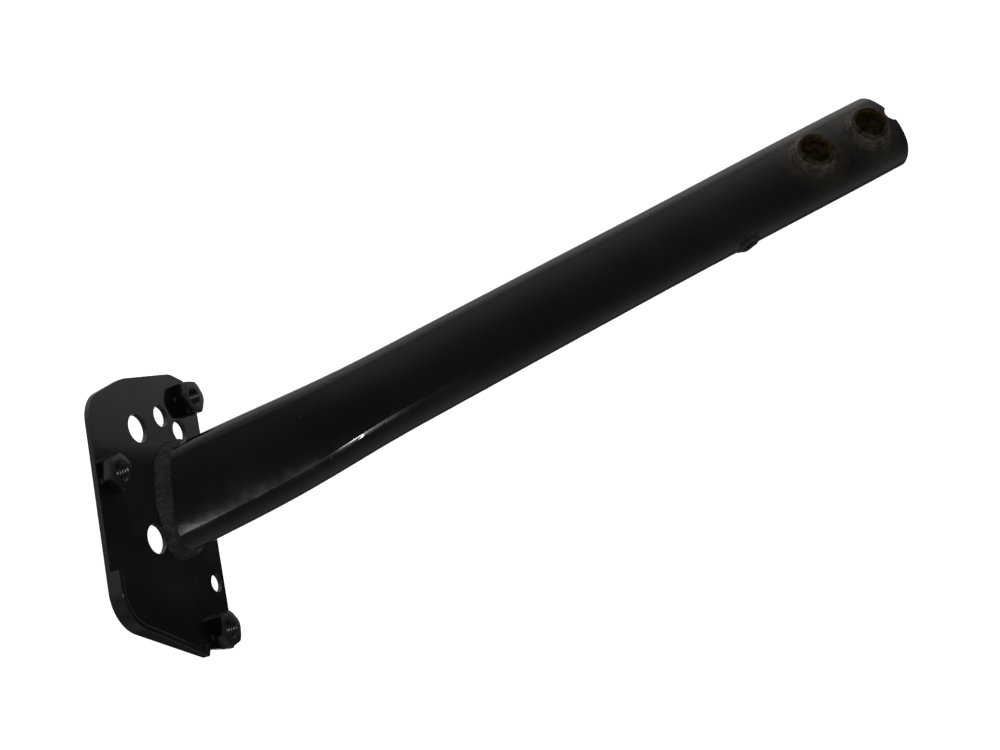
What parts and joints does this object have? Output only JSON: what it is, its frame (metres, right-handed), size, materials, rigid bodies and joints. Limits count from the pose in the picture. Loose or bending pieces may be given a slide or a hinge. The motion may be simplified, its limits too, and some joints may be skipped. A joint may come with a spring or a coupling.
{
  "type": "motorcycle kickstand leg",
  "caption": "Flat-sided oval tube leg with two pivot bushes at one end and a drilled, lipped foot plate with weld nuts at the other.",
  "frame": {"origin": "centre of the outer pivot bush's bore, half-way along it, at the middle of the tube's depth", "axes": "+Z along the pivot bore, out of the wide face the foot bends towards; +X along the tube, out of its open end, with the foot towards -X; +Y completes the right-handed set"},
  "size_m": [0.4564, 0.1166, 0.0825],
  "materials": {
    "frame_paint": "gloss black paint",
    "nut_paint": "gloss black paint, threads bare",
    "weld_bead": "thin matte black over weld",
    "bush_steel": "black outside, light rust in the bore"
  },
  "bodies": {
    "root": {"leg_tube": "frame_paint", "foot_plate": "frame_paint", "foot_weld": "weld_bead", "outer_pivot_bush": "bush_steel", "inner_pivot_bush": "bush_steel", "outer_bush_top_weld": "weld_bead", "outer_bush_bottom_weld": "weld_bead", "inner_bush_top_weld": "weld_bead", "inner_bush_bottom_weld": "weld_bead", "left_weld_nut": "nut_paint", "upper_weld_nut": "nut_paint", "lower_weld_nut": "nut_paint", "left_nut_weld_spots": "weld_bead", "upper_nut_weld_spots": "weld_bead", "lower_nut_weld_spots": "weld_bead", "side_nut": "nut_paint", "side_nut_weld": "weld_bead"}
  },
  "joints": []
}
